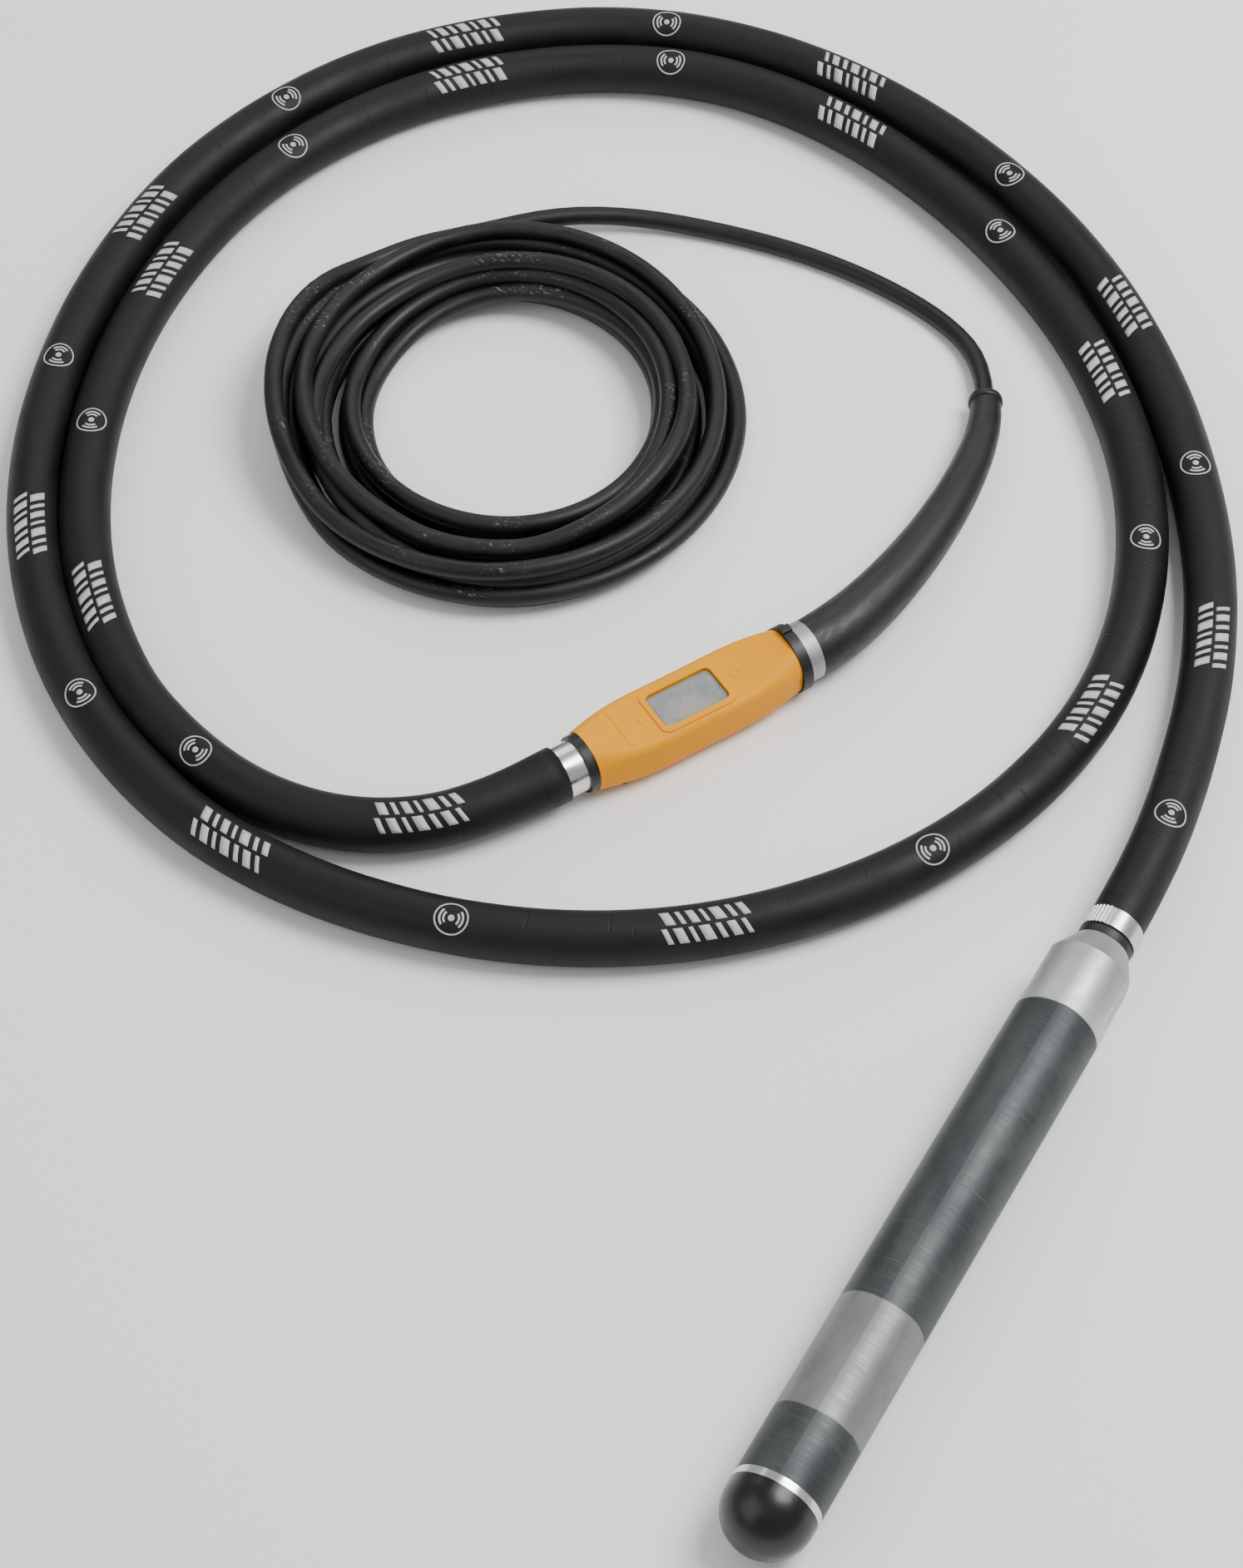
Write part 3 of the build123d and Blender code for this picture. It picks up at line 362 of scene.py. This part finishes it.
BLACK, SOOT = srgb(12, 12, 13), srgb(20, 20, 21)
FINISHES = {
    "hardened_steel": tube_finish(),
    "neck_steel": neck_finish(),
    "bright_steel": turned_metal("bright_steel", srgb(226, 225, 222), 0.2),
    "black_steel": dome_finish(),
    "stainless": turned_metal("stainless", srgb(214, 213, 207), 0.3, 500.0, (0, 1, 1)),
    "bearing_steel": turned_metal("bearing_steel", srgb(204, 204, 207), 0.22),
    "cage_brass": turned_metal("cage_brass", srgb(206, 170, 92), 0.32, 700.0),
    "core_iron": turned_metal("core_iron", srgb(126, 126, 128), 0.5, 1600.0),
    "copper_winding": turned_metal("copper_winding", srgb(196, 116, 74), 0.36, 260.0, (0, 1, 1)),
    "brass_terminal": turned_metal("brass_terminal", srgb(214, 186, 118), 0.3),
    "matte_aluminium": turned_metal("matte_aluminium", srgb(168, 170, 173), 0.55, 700.0, (1, 1, 0)),
    "hose_rubber": hose_finish(),
    "cable_rubber": cable_finish(),
    "relief_rubber": relief_finish(),
    "seal_rubber": moulded("seal_rubber", BLACK, SOOT, 0.5),
    "yellow_shell": shell_finish(),
    "milky_membrane": membrane_finish(),
    "black_plastic": moulded("black_plastic", BLACK, SOOT, 0.45, 1300.0),
    "grey_plastic": moulded("grey_plastic", srgb(128, 131, 136), srgb(112, 115, 120), 0.42, 1300.0),
}

for subpart in frame["record"]["subparts"]:
    cad = nodes[subpart["node"]]
    finish = FINISHES[subpart["material_slot"]].material
    for spot in cad.material_slots:
        spot.material = finish


# ---- small mesh tools --------------------------------------------------------------------------
def new_piece(name, data, finish, body="root"):
    """Link a mesh or curve, give it its material, and let it ride on a CAD body."""
    piece = bpy.data.objects.new(name, data)
    bpy.context.scene.collection.objects.link(piece)
    data.materials.append(finish.material)
    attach(piece, body)
    return piece


def smooth_mesh(name, points, faces):
    """A mesh with shared normals smoothed."""
    mesh = bpy.data.meshes.new(name)
    mesh.from_pydata(points, [], faces)
    mesh.polygons.foreach_set("use_smooth", [True] * len(mesh.polygons))
    return mesh


def nurbs(name, points):
    """One smooth open spline with these control points, in metres."""
    curve = bpy.data.curves.new(name, "CURVE")
    curve.dimensions = "3D"
    spline = curve.splines.new("NURBS")
    spline.points.add(len(points) - 1)
    for spot, point in zip(spline.points, points):
        spot.co = (*point, 1)
    spline.order_u = 3
    spline.use_endpoint_u = True
    spline.resolution_u = 10
    curve.resolution_u = 10
    return curve


def read_line(curve):
    """The points that a spline follows, before it has any thickness."""
    holder = bpy.data.objects.new("line_reader", curve)
    bpy.context.scene.collection.objects.link(holder)
    mesh = bpy.data.meshes.new_from_object(holder)
    line = [vertex.co.copy() for vertex in mesh.vertices]
    bpy.data.objects.remove(holder)
    bpy.data.meshes.remove(mesh)
    return line


class Line:
    """Points along a line, with distances, tangents and a side that doesn't twist."""

    def __init__(self, points, facing):
        self.points = points
        self.far = [0.0]
        for a, b in zip(points, points[1:]):
            self.far.append(self.far[-1] + (b - a).length)
        self.length = self.far[-1]
        self.tangents = []
        for index in range(len(points)):
            before = points[max(index - 1, 0)]
            after = points[min(index + 1, len(points) - 1)]
            self.tangents.append((after - before).normalized())
        self.faces = [(facing - t * facing.dot(t)).normalized() for t in self.tangents]

    def frame_at(self, distance):
        """Point, tangent, facing and side at a distance along the line."""
        distance = min(max(distance, 0.0), self.length)
        index = 1
        while index < len(self.far) - 1 and self.far[index] < distance:
            index += 1
        step = self.far[index] - self.far[index - 1]
        share = (distance - self.far[index - 1]) / step
        point = self.points[index - 1].lerp(self.points[index], share)
        tangent = self.tangents[index - 1].lerp(self.tangents[index], share).normalized()
        face = self.faces[index - 1].lerp(self.faces[index], share)
        face = (face - tangent * face.dot(tangent)).normalized()
        return point, tangent, face, tangent.cross(face)


# ---- protective hose ----------------------------------------------------------------------------
HOSE_R = 0.0144
HOSE_ROUTE = [
    (-0.032, 0.145, 0.0225), (-0.078, 0.145, 0.0225), (-0.146, 0.136, 0.017),
    (-0.228, 0.116, 0.0145), (-0.311, 0.078, 0.0145), (-0.401, 0.011, 0.0145),
    (-0.475, -0.076, 0.0145), (-0.523, -0.182, 0.0145), (-0.540, -0.295, 0.0145),
    (-0.519, -0.395, 0.0145), (-0.460, -0.477, 0.0145), (-0.382, -0.536, 0.0145),
    (-0.269, -0.569, 0.0145), (-0.142, -0.557, 0.0145), (-0.019, -0.507, 0.0145),
    (0.076, -0.422, 0.0145), (0.127, -0.318, 0.0145), (0.135, -0.216, 0.0145),
    (0.107, -0.107, 0.0145), (0.043, -0.012, 0.0145), (-0.058, 0.058, 0.0145),
    (-0.180, 0.082, 0.0145), (-0.303, 0.048, 0.0145), (-0.400, -0.029, 0.0145),
    (-0.466, -0.131, 0.0145), (-0.503, -0.241, 0.0145), (-0.502, -0.344, 0.0145),
    (-0.453, -0.436, 0.0145), (-0.367, -0.505, 0.0145), (-0.254, -0.536, 0.0145),
    (-0.127, -0.522, 0.0145), (-0.012, -0.468, 0.0145), (0.066, -0.388, 0.0145),
    (0.095, -0.315, 0.0145), (0.099, -0.257, 0.0150), (0.084, -0.208, 0.0165),
    (0.0509, -0.1684, 0.0191), (0.0108, -0.1471, 0.0191),
]
PRINT_FACING = Vector((0.28, 0.16, 0.94)).normalized()
HOSE_SIDES = 48
# at the housing the hose swells over its fitting, and at the head it is pinched by its cuff
SWELL, SWELL_REACH = 0.0011, 0.020
PINCH, PINCH_AT, PINCH_REACH = 0.0006, 0.006, 0.004
UNEVEN, UNEVEN_SCALE = 0.00012, 30


def hose_radius(distance, length):
    """Pinched at the cuff, swollen at the housing, with a slightly uneven skin between."""
    swell = SWELL * math.exp(-((length - distance) / SWELL_REACH) ** 2)
    swell -= PINCH * math.exp(-((distance - PINCH_AT) / PINCH_REACH) ** 2)
    return HOSE_R + swell + UNEVEN * noise.noise((distance * UNEVEN_SCALE, 0, 0))


def hose_mesh(line):
    """The hose's skin round its line, closed at both ends, with its route as UVs."""
    points, faces, spots = [], [], []
    for index, distance in enumerate(line.far):
        point, face = line.points[index], line.faces[index]
        side = line.tangents[index].cross(face)
        radius = hose_radius(distance, line.length)
        for corner in range(HOSE_SIDES):
            angle = 2 * math.pi * corner / HOSE_SIDES
            points.append(point + (face * math.cos(angle) + side * math.sin(angle)) * radius)
    for ring in range(len(line.far) - 1):
        for corner in range(HOSE_SIDES):
            nxt = (corner + 1) % HOSE_SIDES
            low, high = ring * HOSE_SIDES, (ring + 1) * HOSE_SIDES
            faces.append((low + corner, low + nxt, high + nxt, high + corner))
            near, far = line.far[ring], line.far[ring + 1]
            left, right = corner / HOSE_SIDES, (corner + 1) / HOSE_SIDES
            spots += [(near, left), (near, right), (far, right), (far, left)]
    last = (len(line.far) - 1) * HOSE_SIDES
    faces.append(tuple(reversed(range(HOSE_SIDES))))
    faces.append(tuple(range(last, last + HOSE_SIDES)))
    spots += [(0.0, 0.0)] * HOSE_SIDES + [(line.length, 0.0)] * HOSE_SIDES
    mesh = smooth_mesh("protective_hose_skin", points, faces)
    layer = mesh.uv_layers.new(name="route")
    for loop, spot in zip(layer.data, spots):
        loop.uv = spot
    return mesh


hose_line = Line(read_line(nurbs("hose_route", HOSE_ROUTE)), PRINT_FACING)
hose = new_piece("protective_hose_skin", hose_mesh(hose_line), FINISHES["hose_rubber"])
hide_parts("protective_hose", "motor_lead")


# ---- prints on the hose: a plain ring mark and two rows of slanted bars, in turn ------------------
PRINT_START, PRINT_STEP = 0.080, 0.125
PRINT_CLEARANCE = 0.05          # from the last mark's middle to the hose's end, at least
INK_HEIGHT = 0.00012
ROW_HEIGHT = 0.0078
ROW_GAP = 0.0018
BAR_SLANT = 0.0032
# widths of the bars of each row, and the gap between bars
BAR_ROWS = [
    (0.0050, 0.0024, 0.0042, 0.0020, 0.0056, 0.0026, 0.0038),
    (0.0028, 0.0048, 0.0022, 0.0054, 0.0028, 0.0044, 0.0024),
]
BAR_GAP = 0.0029
RING_OUTER, RING_LINE = 0.0088, 0.0008
DOT_INNER, DOT_OUTER = 0.0002, 0.0017
ARC_RADII, ARC_LINE = (0.0034, 0.0054), 0.0011
ARC_HALF = 0.75                 # half the angle of an arc, in radians


class Ink:
    """Gathers thin patches that lie on the hose's skin."""

    def __init__(self, line):
        self.line = line
        self.points, self.faces = [], []

    def spot(self, distance, across):
        """A point of the ink's face, across being measured round the skin."""
        point, _, face, side = self.line.frame_at(distance)
        angle = across / HOSE_R
        radius = hose_radius(distance, self.line.length) + INK_HEIGHT
        return point + (face * math.cos(angle) + side * math.sin(angle)) * radius

    def strip(self, edge_a, edge_b):
        """A band of quads between two rows of (distance, across) spots."""
        start = len(self.points)
        self.points += [self.spot(*spot) for pair in zip(edge_a, edge_b) for spot in pair]
        for index in range(len(edge_a) - 1):
            at = start + 2 * index
            self.faces.append((at, at + 1, at + 3, at + 2))

    def arc(self, centre, inner, outer, start=0.0, end=2 * math.pi, steps=40):
        """A band between two radii round a centre; a whole ring unless angles are given."""
        angles = [start + (end - start) * index / steps for index in range(steps + 1)]
        rows = []
        for radius in (inner, outer):
            rows.append([(centre + radius * math.cos(a), radius * math.sin(a)) for a in angles])
        self.strip(*rows)

    def bar(self, start, low, width, height, slant):
        """A slanted bar, in five steps so that it follows the round skin."""
        steps = [index / 5 for index in range(6)]
        left = [(start + slant * s, low + height * s) for s in steps]
        right = [(start + width + slant * s, low + height * s) for s in steps]
        self.strip(left, right)


def ring_mark(ink, centre):
    """A ring round a dot, with two plain arcs on each side of the dot."""
    ink.arc(centre, RING_OUTER - RING_LINE, RING_OUTER)
    ink.arc(centre, DOT_INNER, DOT_OUTER, steps=20)
    for radius in ARC_RADII:
        for middle in (0.0, math.pi):
            ink.arc(centre, radius, radius + ARC_LINE, middle - ARC_HALF, middle + ARC_HALF, 14)


def bar_mark(ink, centre):
    """Two rows of slanted bars."""
    for row, widths in enumerate(BAR_ROWS):
        total = sum(widths) + BAR_GAP * (len(widths) - 1)
        start = centre - total / 2
        low = (row - 1) * ROW_HEIGHT + (row - 0.5) * ROW_GAP
        for width in widths:
            ink.bar(start, low, width, ROW_HEIGHT, BAR_SLANT)
            start += width + BAR_GAP


ink = Ink(hose_line)
mark_at, marks = PRINT_START, 0
while mark_at < hose_line.length - PRINT_CLEARANCE:
    (bar_mark if marks % 2 else ring_mark)(ink, mark_at)
    mark_at += PRINT_STEP
    marks += 1
prints_mesh = smooth_mesh("hose_prints", ink.points, ink.faces)
prints = new_piece("hose_prints", prints_mesh, print_finish())
ink_body = prints.modifiers.new("ink_thickness", "SOLIDIFY")
ink_body.thickness = INK_HEIGHT * 1.5
ink_body.offset = -1

# ---- supply cable: a lead from the relief, then loose turns stacked in a coil ---------------------
CABLE_D = 0.0107
LEAD_ROUTE = [
    (-0.345, -0.075, 0.0099), (-0.371, -0.089, 0.0072), (-0.391, -0.119, 0.0055),
    (-0.401, -0.165, 0.0055), (-0.402, -0.217, 0.0055), (-0.394, -0.269, 0.0055),
    (-0.378, -0.319, 0.0080), (-0.351, -0.359, 0.0130),
]
COIL_AT = Vector((-0.200, -0.305, 0))
COIL_TURN = math.radians(29.7)
CAP_MOUTH = Vector((-0.128, -0.400, 0.0066))
CAP_HEADING = math.radians(36)
CAP_RUN_IN, CAP_DEPTH = 0.022, 0.004    # straight cable before the cap, and inside it
TURN_AFTER_CAP = math.radians(26)       # from the cap's mouth to where the turns begin
TURN_BEFORE_LEAD = math.radians(15)     # from where the turns end to the lead
STEPS_PER_TURN = 24             # control points in one turn
FINE = 4                        # spots tested for contact in each of those steps
FLATTEN = 0.93                  # the turns' short radius over their long one
# one loose turn a row, from the far end up to the lead: its long radius, then how far its
# middle lies from the coil's, along the ellipse and across it
TURNS = [
    (0.121, 0.000, 0.000), (0.110, 0.003, -0.002), (0.099, -0.003, 0.002), (0.089, 0.002, 0.003),
    (0.0945, -0.002, 0.003), (0.105, 0.004, -0.004), (0.116, -0.004, -0.002), (0.128, 0.003, 0.003),
    (0.140, -0.003, 0.002), (0.132, 0.004, -0.003), (0.107, 0.005, 0.003), (0.128, -0.004, 0.000),
    (0.142, -0.003, 0.000),
]
PRESSED = 0.78                  # the pile's height once its own weight has pressed it down


def turn_at(turn):
    """The turn's values at a count of turns, blended smoothly between whole turns."""
    whole = min(int(turn), len(TURNS) - 2)
    share = turn - whole
    share = share * share * (3 - 2 * share)
    return [a + (b - a) * share for a, b in zip(TURNS[whole], TURNS[whole + 1])]


def coil_plan(angle, turn):
    """Where the cable lies in plan at an angle within the coil's ellipse."""
    radius, off_x, off_y = turn_at(turn)
    along = math.cos(angle) * radius + off_x
    across = math.sin(angle) * radius * FLATTEN + off_y
    turned = Matrix.Rotation(COIL_TURN, 3, "Z") @ Vector((along, across, 0))
    return COIL_AT + turned


def settle(plan, lap):
    """Heights of a cable laid down in this order: each stretch rests on what lies under it."""
    heights = []
    for index, point in enumerate(plan):
        height = CABLE_D / 2
        for other in range(0, index - lap // 2):
            gap = (plan[other] - point).length
            if gap < CABLE_D:
                height = max(height, heights[other] + math.sqrt(CABLE_D ** 2 - gap ** 2))
        heights.append(height)
    return heights


def local_angle(point):
    """The angle of a point within the coil's ellipse."""
    offset = point - COIL_AT
    return math.atan2(offset.y, offset.x) - COIL_TURN


def coil_route():
    """Control points of the loose turns, from the far end at the bottom up to the lead."""
    first = local_angle(CAP_MOUTH) - TURN_AFTER_CAP
    last = local_angle(Vector(LEAD_ROUTE[-1])) + TURN_BEFORE_LEAD
    sweep = (first - last) % (2 * math.pi) + 2 * math.pi * (len(TURNS) - 2)
    laps = sweep / (2 * math.pi)
    fine = STEPS_PER_TURN * FINE
    count = int(laps * fine)
    plan = []
    for index in range(count + 1):
        share = index / count
        plan.append(coil_plan(first - sweep * share, share * (len(TURNS) - 1)))
    heights = settle(plan, fine)
    route = []
    for index in range(0, count + 1, FINE):
        near = heights[max(index - FINE, 0):index + FINE + 1]
        rise = 0.5 * max(near) + 0.5 * sum(near) / len(near) - CABLE_D / 2
        route.append(plan[index] + UP * (CABLE_D / 2 + PRESSED * rise))
    return route


turns = coil_route()
into_cap = Vector((math.cos(CAP_HEADING), math.sin(CAP_HEADING), 0))
cable_route = [Vector(point) for point in LEAD_ROUTE] + list(reversed(turns))
cable_route += [CAP_MOUTH - into_cap * CAP_RUN_IN, CAP_MOUTH + into_cap * CAP_DEPTH]

cable_curve = nurbs("supply_cable_run", cable_route)
cable_curve.resolution_u = 4
cable_curve.splines[0].resolution_u = 4
cable_curve.bevel_depth = CABLE_D / 2
cable_curve.bevel_resolution = 6
cable_curve.use_fill_caps = True
cable = new_piece("supply_cable_run", cable_curve, FINISHES["cable_rubber"])
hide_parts("supply_cable", "cable_coil")

# ---- marks cast into the yellow shell --------------------------------------------------------------
STROKE = 0.0008                 # width of a cast stroke
STROKE_RISE = 0.0003
STROKE_STEP = 0.002
STROKE_ROOT = 0.0004            # how far a stroke's edges lie under the skin
STROKE_SHOULDER = 0.7           # where the top begins to round off, and its height there
FROM_ABOVE = 0.1                # height from which rays are cast down on to the skin
shell_skin = BVHTree.FromObject(nodes["housing_top"], bpy.context.evaluated_depsgraph_get())


def on_shell(u, v, rise):
    """A point that far above the yellow shell's skin."""
    from_above = housing_point(u, v, FROM_ABOVE)
    return shell_skin.ray_cast(from_above, -UP)[0] + UP * rise


def cast_mark(name, outlines):
    """Low raised strokes on the shell: each outline is a line of (u, v) spots."""
    shoulder = STROKE_SHOULDER * STROKE_RISE
    section = ((-1, -STROKE_ROOT), (-STROKE_SHOULDER, shoulder), (0, STROKE_RISE),
               (STROKE_SHOULDER, shoulder), (1, -STROKE_ROOT))
    points, faces = [], []
    for outline in outlines:
        spots = []
        for start, end in zip(outline, outline[1:]):
            start, end = Vector(start), Vector(end)
            count = max(1, round((end - start).length / STROKE_STEP))
            spots += [start.lerp(end, index / count) for index in range(count)]
        spots.append(Vector(outline[-1]))
        for index, spot in enumerate(spots):
            before, after = spots[max(index - 1, 0)], spots[min(index + 1, len(spots) - 1)]
            along = (after - before).normalized()
            side = Vector((-along.y, along.x)) * STROKE / 2
            for share, lift in section:
                points.append(on_shell(*(spot + side * share), lift))
        first = len(points) - 5 * len(spots)
        for index in range(len(spots) - 1):
            for strand in range(4):
                at = first + 5 * index + strand
                faces.append((at, at + 5, at + 6, at + 1))
    mesh = smooth_mesh(name, points, faces)
    return new_piece(name, mesh, FINISHES["yellow_shell"])


def ring_outline(u, v, radius, steps=28):
    """A closed ring of (u, v) spots."""
    angles = [2 * math.pi * index / steps for index in range(steps + 1)]
    return [(u + radius * math.cos(a), v + radius * math.sin(a)) for a in angles]


# a bent rule near the hose, a plain 0 past the window's cable end, and a 1 past its hose end
cast_mark("shell_rule", [[(-0.042, 0.0125), (-0.042, -0.0135), (-0.0375, -0.0135)]])
cast_mark("shell_off_mark", [ring_outline(0.0300, -0.001, 0.0026)])
cast_mark("shell_on_mark", [[(-0.0300, -0.0036), (-0.0300, 0.0016)]])

# ---- floor and light --------------------------------------------------------------------------------
FLOOR = 12                      # from the middle of the floor to its sides
floor_mesh = bpy.data.meshes.new("floor")
corners = [(-FLOOR, -FLOOR, 0), (FLOOR, -FLOOR, 0), (FLOOR, FLOOR, 0), (-FLOOR, FLOOR, 0)]
floor_mesh.from_pydata(corners, [], [(0, 1, 2, 3)])
floor = bpy.data.objects.new("floor", floor_mesh)
bpy.context.scene.collection.objects.link(floor)
floor_mesh.materials.append(Finish("floor", (0.93, 0.93, 0.93, 1), 0.75).material)

world = bpy.data.worlds.new("studio")
world.use_nodes = True
world.node_tree.nodes["Background"].inputs["Color"].default_value = (1, 1, 1, 1)
world.node_tree.nodes["Background"].inputs["Strength"].default_value = 0.5
bpy.context.scene.world = world


def softbox(name, place, aim, size, power):
    """A rectangular lamp of that size and power in watts, facing a point."""
    light = bpy.data.lights.new(name, "AREA")
    light.shape = "RECTANGLE"
    light.size, light.size_y = size
    light.energy = power
    lamp = bpy.data.objects.new(name, light)
    bpy.context.scene.collection.objects.link(lamp)
    lamp.location = place
    lamp.rotation_euler = (Vector(aim) - Vector(place)).to_track_quat("-Z", "Y").to_euler()


MIDDLE = (-0.15, -0.2, 0)
softbox("key", (-0.9, 0.9, 2.2), MIDDLE, (1.3, 1.3), 78)
softbox("fill", (1.6, -1.2, 1.8), MIDDLE, (2.0, 2.0), 16)
softbox("back", (-1.8, -1.4, 1.6), MIDDLE, (2.0, 1.2), 14)
